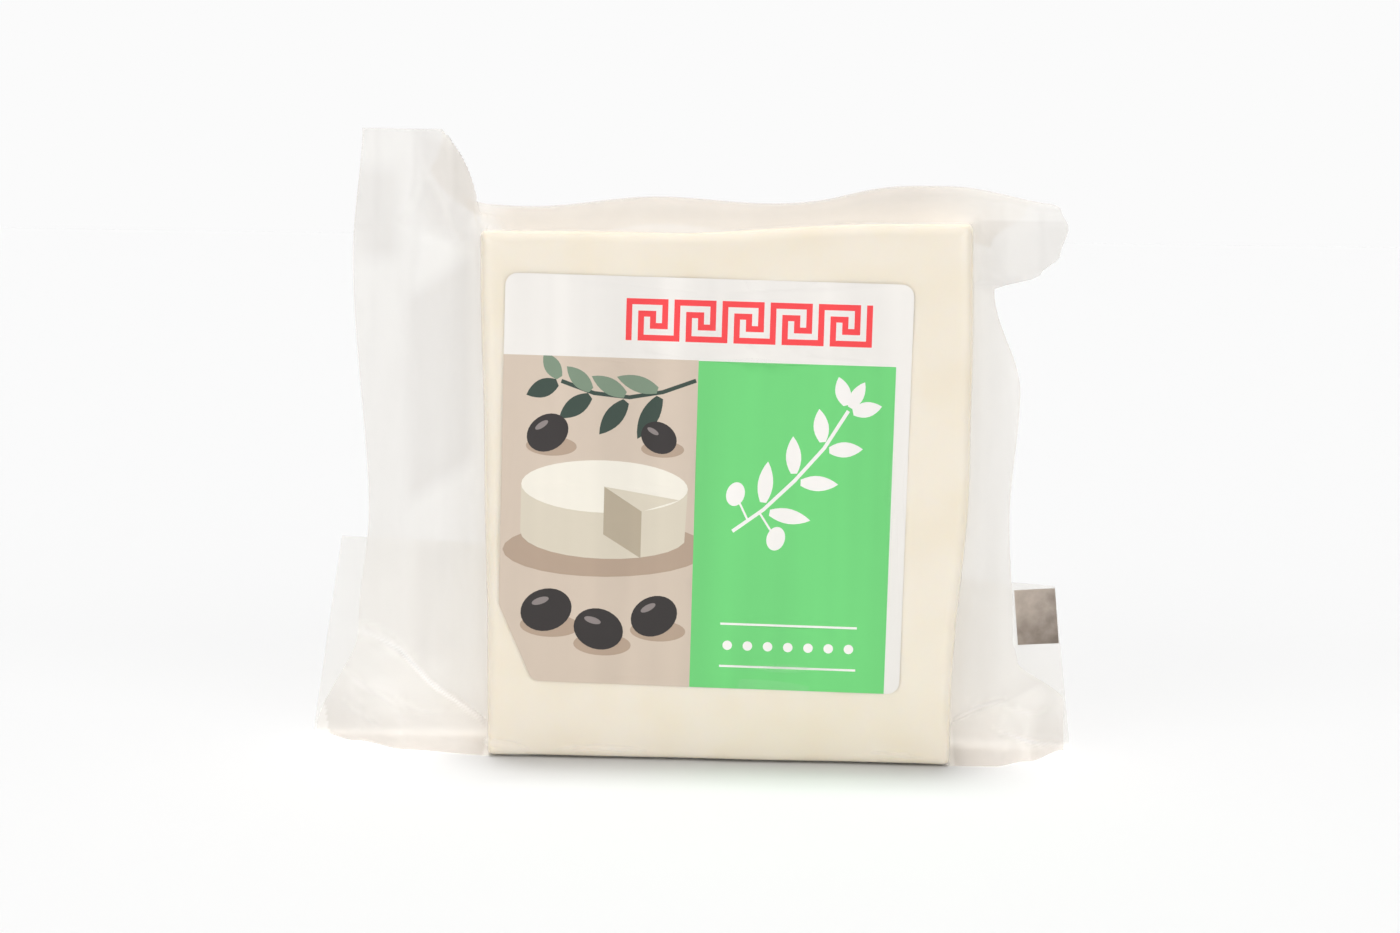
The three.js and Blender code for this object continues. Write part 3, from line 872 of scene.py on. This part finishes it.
glossy_film = add_node(
    tree, "ShaderNodeMixShader",
    links={0: fresnel.outputs[0], 1: clear_shader.outputs[0], 2: gloss_shader.outputs[0]},
)
# streaks of painted shade where the two films part, mostly up and down
drawn_up = add_node(  # the contact of the two films runs in streaks, mostly up and down
    tree, "ShaderNodeMapping", {"Scale": (1.0, 1.0, 0.3)}, {"Vector": place},
)
contact = add_node(
    tree, "ShaderNodeTexNoise", {"Scale": 1 / (13 * MM), "Detail": 3.0, "Roughness": 0.55},
    {"Vector": drawn_up.outputs[0]},
)
mottled = add_node(
    tree, "ShaderNodeMapRange", {"From Min": 0.35, "From Max": 0.65, "To Max": 0.15},
    {"Value": contact.outputs[0]},
)
# painted shade: the streaks and the pane, curl, ear and foot mask give the share of greyer haze
shade_share = add_node(
    tree, "ShaderNodeMath", {"operation": "ADD", "use_clamp": True},
    {0: mottled.outputs[0], 1: painted_film_shade},
)
margin_tone = add_node(
    tree, "ShaderNodeMix", {"data_type": "RGBA", 6: TOUCHING_COLOUR, 7: PAINTED_SHADE_COLOUR},
    {0: shade_share.outputs[0]},
)
# painted highlight: on creases and pleats the haze turns white
haze_tone = add_node(
    tree, "ShaderNodeMix", {"data_type": "RGBA", 7: CREASE_HIGHLIGHT_COLOUR},
    {0: crease, 6: margin_tone.outputs[2]},
)
lit_front = add_node(tree, "ShaderNodeBsdfDiffuse", links={"Color": haze_tone.outputs[2]})
lit_back = add_node(tree, "ShaderNodeBsdfTranslucent", links={"Color": haze_tone.outputs[2]})
haze_shader = add_node(
    tree, "ShaderNodeMixShader", {0: 0.5}, {1: lit_front.outputs[0], 2: lit_back.outputs[0]},
)
plain_haze = add_node(
    tree, "ShaderNodeMapRange", {"To Min": TIGHT_HAZE, "To Max": LOOSE_HAZE}, {"Value": loose},
)
# the painted highlight also raises the haze share on creases
haze = add_node(
    tree, "ShaderNodeMapRange", {"To Max": CREASE_HIGHLIGHT_HAZE},
    {"Value": crease, "To Min": plain_haze.outputs[0]},
)
film_shader = add_node(
    tree, "ShaderNodeMixShader",
    links={0: haze.outputs[0], 1: glossy_film.outputs[0], 2: haze_shader.outputs[0]},
)
put_on(film, laminate, film_shader)

# %% [markdown]
# ## The label
#
# The label is coated paper, printed in flat inks and glued on the film. Each field of ink is a field
# of faces with its own material, so the edges stay sharp at any size. All outlines are joined in one
# flat triangulation, which cuts them where they cross, and every triangle takes the ink of the
# topmost shape that covers it. The flat sheet is then laid on the crowned front and thickened.

# %% Shapes for the print
LABEL = {"width": 80, "height": 81, "x": -3.6, "z": 55.7, "turn": -0.9, "corner": 2.4}
LABEL_CUT = {"up": 15.3, "along": 7}
LABEL_THICKNESS = 0.10
LABEL_GAP = 0.03  # the glue


def rectangle(x0, z0, x1, z1):
    return [(x0, z0), (x1, z0), (x1, z1), (x0, z1)]


def turned(x, z, turn, points):
    """Points turned by an angle in degrees and moved to x, z."""
    c, s = math.cos(math.radians(turn)), math.sin(math.radians(turn))
    return [(x + c * u - s * v, z + s * u + c * v) for u, v in points]


def ellipse(x, z, half_long, half_short, turn=0.0, steps=28):
    angles = [2 * math.pi * i / steps for i in range(steps)]
    return turned(x, z, turn, [(half_long * math.cos(a), half_short * math.sin(a)) for a in angles])


def leaf(x, z, length, width, turn, steps=9):
    """A pointed oval that starts at x, z and runs in the direction of turn."""
    out = [i / steps for i in range(1, steps + 1)]
    right = [(length * t, -width / 2 * math.sin(math.pi * t) ** 0.85) for t in out]
    left = [(length * t, width / 2 * math.sin(math.pi * t) ** 0.85) for t in out]
    return turned(x, z, turn, right + left[::-1])


def stroke(points, width):
    """A line of even width through points, as one outline."""
    points = [Vector(p) for p in points]
    left, right = [], []
    for i, p in enumerate(points):
        run = points[min(i + 1, len(points) - 1)] - points[max(i - 1, 0)]
        side = Vector((-run.y, run.x)).normalized() * width / 2
        left.append(tuple(p + side))
        right.append(tuple(p - side))
    return right + left[::-1]


def joints(stem):
    """Each joint after the root of a stem: its number, place and the stem's direction."""
    for i, (a, b) in enumerate(zip(stem, stem[1:])):
        yield i, *b, math.degrees(math.atan2(b[1] - a[1], b[0] - a[0]))


def rounded_outline(corners, radius, steps=6):
    points = []
    for i, corner in enumerate(corners):
        corner = Vector(corner)
        inward = (Vector(corners[i - 1]) - corner).normalized()
        outward = (Vector(corners[(i + 1) % len(corners)]) - corner).normalized()
        half = inward.angle(outward) / 2
        centre = corner + (inward + outward).normalized() * radius / math.sin(half)
        start = corner + inward * radius / math.tan(half) - centre
        sweep = 180 - 2 * math.degrees(half)
        for k in range(steps + 1):
            points += turned(*centre, sweep * k / steps, [start])
    return points


# %% Fields of the label
INK_COLOURS = {
    "paper": "f1ede8", "green": "70d67b", "red": "fb4449", "white": "f8f4f0", "sand": "d6c5b4",
    "sand_shade": "b7a08c", "curd_top": "f5efe2", "curd_side": "dcd2bf", "curd_dark": "b9ab95",
    "leaf_dark": "31443a", "leaf_pale": "7d917b", "olive": "2b2524", "olive_light": "8c8280",
}
w, h = LABEL["width"] / 2, LABEL["height"] / 2
PANEL_SPLIT = -1.6  # between the picture and the green panel
HEADER_FOOT = 24.4
sheet_outline = rounded_outline(
    [(-w + LABEL_CUT["along"], -h), (w, -h), (w, h), (-w, h), (-w, -h + LABEL_CUT["up"])], LABEL["corner"]
)
fields = [
    # (ink, outline, the field that it is kept inside)
    ("paper", sheet_outline, None),
    ("green", rectangle(PANEL_SPLIT, -h - 1, 37, HEADER_FOOT), "paper"),
    ("sand", rectangle(-w - 1, -h - 1, PANEL_SPLIT, HEADER_FOOT + 0.1), "paper"),
]

# %% The meander in the header
MEANDER_STEP = 2.35
MEANDER_START = (-15.5, 28.6)
MEANDER_REPEATS = 5
MEANDER_WAY = [(0, 0), (0, 3), (3, 3), (3, 1), (2, 1), (2, 2), (1, 2), (1, 0), (4, 0)]
meander_half = MEANDER_STEP * 0.25
meander_points = [
    (repeat * 4 + across, up) for repeat in range(MEANDER_REPEATS) for across, up in MEANDER_WAY[:-1]
]
meander_points += [(MEANDER_REPEATS * 4, 0), (MEANDER_REPEATS * 4, 3)]  # a last upright closes it
for (ax, az), (bx, bz) in zip(meander_points, meander_points[1:]):
    x0, x1 = (MEANDER_START[0] + k * MEANDER_STEP for k in (min(ax, bx), max(ax, bx)))
    z0, z1 = (MEANDER_START[1] + k * MEANDER_STEP for k in (min(az, bz), max(az, bz)))
    bar = rectangle(x0 - meander_half, z0 - meander_half, x1 + meander_half, z1 + meander_half)
    fields.append(("red", bar, "paper"))
print("fields so far:", len(fields))

# %% The sprig and the rules in the green panel
SPRIG = [(6.0, -9.0), (12.0, -4.5), (18.0, 1.5), (23.5, 8.0), (28.0, 15.5)]
fields.append(("white", stroke(SPRIG, 0.7), "green"))
for i, x, z, heading in joints(SPRIG):
    fields.append(("white", leaf(x - 0.2, z + 0.4, 9.2 - i * 0.9, 3.0, heading + 48), "green"))
    fields.append(("white", leaf(x + 0.2, z - 0.4, 9.2 - i * 0.9, 3.0, heading - 46), "green"))
fields.append(("white", leaf(28.0, 15.5, 6.5, 2.6, 62), "green"))
for x, z, stalk in ((6.4, -1.6, (9.0, -6.8)), (14.6, -10.2, (11.2, -5.1))):
    fields.append(("white", stroke([stalk, (x, z)], 0.4), "green"))
    fields.append(("white", ellipse(x, z, 2.4, 1.8, 75), "green"))
GREEN_MIDDLE = 17.7
for z in (-27.5, -36.0):
    rule = rectangle(GREEN_MIDDLE - 13.5, z - 0.22, GREEN_MIDDLE + 13.5, z + 0.22)
    fields.append(("white", rule, "green"))
for i in range(7):
    dot = ellipse(GREEN_MIDDLE + (i - 3) * 4.0, -31.8, 0.95, 0.95, 0, 16)
    fields.append(("white", dot, "green"))

# %% The picture panel
fields += [
    ("sand_shade", ellipse(-19, -13.5, 20.5, 5.5, 2), "sand"),
    ("curd_side", [(-36, -1)] + ellipse(-19.5, -10.5, 16.5, 4.9, 0)[14:] + [(-3, -1)], "sand"),
    ("curd_top", ellipse(-19.5, -1, 16.5, 5.2, 0, 40), "sand"),
    ("curd_side", [(-19.5, -1), (-12.0, -5.7), (-4.6, -3.2)], "sand"),
    ("curd_dark", [(-19.5, -1), (-12.0, -5.7), (-12.0, -15.0), (-19.5, -10.5)], "sand"),
]
BRANCH = [(-2.0, 20.5), (-8.5, 18.0), (-15.0, 16.8), (-22.0, 17.4), (-28.5, 19.6)]
fields.append(("leaf_dark", stroke(BRANCH, 0.8), "sand"))
for i, x, z, heading in joints(BRANCH):
    fields.append(("leaf_dark", leaf(x, z, 10.5 - i, 3.6, heading + 42), "sand"))
    fields.append(("leaf_pale", leaf(x, z, 9.5 - i, 3.2, heading - 38), "sand"))
OLIVES = [(-31.0, 9.3, 4.4, 3.5, 35), (-9.0, 9.0, 3.7, 3.0, -30), (-30.5, -26.0, 5.2, 4.2, 20),
          (-20.0, -29.5, 5.0, 4.1, -15), (-9.0, -26.5, 4.8, 3.9, 30)]
for x, z, long, short, turn in OLIVES:
    fields.append(("sand_shade", ellipse(x + 0.8, z - short * 0.75, long * 1.15, short * 0.55), "sand"))
    fields.append(("olive", ellipse(x, z, long, short, turn), "sand"))
    gleam = ellipse(x - 1.2, z + short * 0.42, long * 0.34, short * 0.16, turn)
    fields.append(("olive_light", gleam, "sand"))
print("fields of the print:", len(fields))

# %% One flat triangulation of all outlines
GRID_STEP = 2.0
INKS = list(INK_COLOURS)
points, outlines = [], []
for _, outline, _ in fields:
    turns = sum(a[0] * b[1] - b[0] * a[1] for a, b in zip(outline, outline[1:] + outline[:1]))
    if turns < 0:
        outline = outline[::-1]
    outlines.append(list(range(len(points), len(points) + len(outline))))
    points += [Vector(p) for p in outline]
for i in range(1, int(LABEL["width"] / GRID_STEP)):
    for k in range(1, int(LABEL["height"] / GRID_STEP)):
        points.append(Vector((-w + i * GRID_STEP + 0.013 * k, -h + k * GRID_STEP + 0.017 * i)))
flat_points, _, triangles, _, _, covers = delaunay_2d_cdt(points, [], outlines, 1, 1e-5)

faces, inks = [], []
for triangle, cover in zip(triangles, covers):
    shown = {fields[i][0] for i in cover}
    if "paper" not in shown:
        continue
    kept = [i for i in cover if fields[i][2] is None or fields[i][2] in shown]
    faces.append(triangle)
    inks.append(INKS.index(fields[max(kept)][0]))
print("triangles of the print:", len(faces))

# %% The sheet is laid on the front of the pack
def label_waves(x, z):
    """Slack in the glued paper: shallow waves that run up and down, and none at its edges."""
    inner = smooth(w - np.abs(x - LABEL["x"]), 0.5, 7) * smooth(h - np.abs(z - LABEL["z"]), 0.5, 7)
    wave = np.sin(x / 1.9 + 0.5 * np.sin(z / 17)) + 0.6 * np.sin(x / 0.83 + z / 30)
    return 0.04 * inner * (1.6 + wave)


def lay_on(points, spot, surface):
    """Puts flat points in their place on the pack and gives each its depth."""
    x, z = np.array(turned(spot["x"], spot["z"], spot["turn"], points)).T
    return np.stack([x, surface(x, z), z], axis=1)


def label_surface(x, z):
    return pack_front(x, z) - LABEL_GAP - LABEL_THICKNESS / 2 - label_waves(x, z)


mesh = bpy.data.meshes.new("label_sheet")
mesh.from_pydata([(p.x, p.y, 0) for p in flat_points], [], faces)
mesh.polygons.foreach_set("material_index", inks)
label = bpy.data.objects.new("label_sheet", mesh)
bpy.context.scene.collection.objects.link(label)
write_points(label, lay_on(flat_points, LABEL, label_surface))
select_only(label)
bpy.ops.object.mode_set(mode="EDIT")
bpy.ops.mesh.select_all(action="SELECT")
bpy.ops.mesh.delete_loose()
bpy.ops.object.mode_set(mode="OBJECT")

# %% Inks on coated paper
for ink, ink_colour in INK_COLOURS.items():
    material, tree = new_material("offset_ink_" + ink if ink != "paper" else "coated_label_paper")
    place = add_node(tree, "ShaderNodeTexCoord").outputs["Object"]
    drawn_up = add_node(  # the press leaves faint streaks up and down
        tree, "ShaderNodeMapping", {"Scale": (1.0, 1.0, 0.06)}, {"Vector": place},
    )
    cloud = add_node(
        tree, "ShaderNodeTexNoise", {"Scale": 1 / (7 * MM), "Detail": 1.5}, {"Vector": drawn_up.outputs[0]},
    )
    fibre = add_node(
        tree, "ShaderNodeTexNoise", {"Scale": 1 / (0.5 * MM), "Detail": 2.0}, {"Vector": place},
    )
    shade = add_node(
        tree, "ShaderNodeMapRange", {"From Min": 0.3, "From Max": 0.7, "To Min": 0.94, "To Max": 1.03},
        {"Value": cloud.outputs[0]},
    )
    colour = add_node(
        tree, "ShaderNodeHueSaturation", {"Color": linear(ink_colour)}, {"Value": shade.outputs[0]},
    )
    relief = add_node(
        tree, "ShaderNodeBump", {"Strength": 0.15, "Distance": 0.02 * MM}, {"Height": fibre.outputs[0]},
    )
    shader = add_node(
        tree, "ShaderNodeBsdfPrincipled", {"Roughness": 0.36, "IOR": 1.48},
        {"Base Color": colour.outputs[0], "Normal": relief.outputs[0]},
    )
    put_on(label, material, shader)
apply_modifier(label, "SOLIDIFY", thickness=LABEL_THICKNESS * MM, offset=0.0)
shade_smooth(label, 40)
print("label triangles:", triangle_count(label))

# %% [markdown]
# ## The printed mark
#
# A packing machine finds the end of each pouch by a dark patch that is printed on the film. It
# is a thin layer of ink, so light still shows through it unevenly.

# %% The mark on the flap
MARK = {"width": 8.4, "height": 11.4, "x": 65.2, "z": 26.4, "turn": 5}
MARK_THICKNESS = 0.06


def sheet_front(x, z):
    """The front of the flap's film, read from the finished sheet."""
    depths = []
    for px, pz in zip(x, z):
        near = [flap_points[i][1] for _, i, _ in flap_tree.find_n((px, 0, pz), 4)]
        depths.append(sum(near) / len(near))
    return np.array(depths) - FILM["thickness"] / 2 - MARK_THICKNESS / 2 - 0.04


flap_points = sheet_points[is_flap]
flap_tree = search_tree([(x, 0, z) for x, _, z in flap_points])

mark = add_piece(
    "mark_print", bpy.ops.mesh.primitive_grid_add, x_subdivisions=14, y_subdivisions=18, size=1,
)
flat = read_points(mark)[:, :2] * MM * np.array([MARK["width"], MARK["height"]])
write_points(mark, lay_on(flat, MARK, sheet_front))
apply_modifier(mark, "SOLIDIFY", thickness=MARK_THICKNESS * MM, offset=0.0)
shade_smooth(mark, 40)

INK_THIN = linear("d0c3b8")
INK_THICK = linear("776b60")
ink, tree = new_material("thin_grey_brown_film_ink")
place = add_node(tree, "ShaderNodeTexCoord").outputs["Object"]
cloud = add_node(
    tree, "ShaderNodeTexNoise", {"Scale": 1 / (3.6 * MM), "Detail": 4.0, "Roughness": 0.6},
    {"Vector": place},
)
slope = add_node(
    tree, "ShaderNodeVectorMath", {"operation": "DOT_PRODUCT", 1: (1.0, 0.0, -0.9)}, {0: place},
)
run = add_node(  # from the upper left corner to the lower right one
    tree, "ShaderNodeMapRange", {"From Min": 32 * MM, "From Max": 51 * MM, "To Min": -0.35, "To Max": 0.6},
    {"Value": slope.outputs["Value"]},
)
mask = add_node(
    tree, "ShaderNodeMath", {"operation": "MULTIPLY_ADD", 1: 0.9, "use_clamp": True},
    {0: cloud.outputs[0], 2: run.outputs[0]},
)
tone = add_node(
    tree, "ShaderNodeMix", {"data_type": "RGBA", 6: INK_THIN, 7: INK_THICK}, {0: mask.outputs[0]},
)
shader = add_node(
    tree, "ShaderNodeBsdfPrincipled", {"Roughness": 0.3, "IOR": 1.5}, {"Base Color": tone.outputs[2]},
)
put_on(mark, ink, shader)

# %% [markdown]
# ## Names for the export
#
# Every piece rides on the one body of the pack. The cheese and the film together stand for the
# sealed bag, and the printed sheet and the mark stand for their plain solids.

# %% What replaces what
for piece, node, slot in (
    (cheese, "sealed_bag", "clear_film"),
    (film, "sealed_bag", "clear_film"),
    (label, "label", "label_paper"),
    (mark, "eye_mark", "dark_ink"),
):
    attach(piece, "root")
    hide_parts(node)
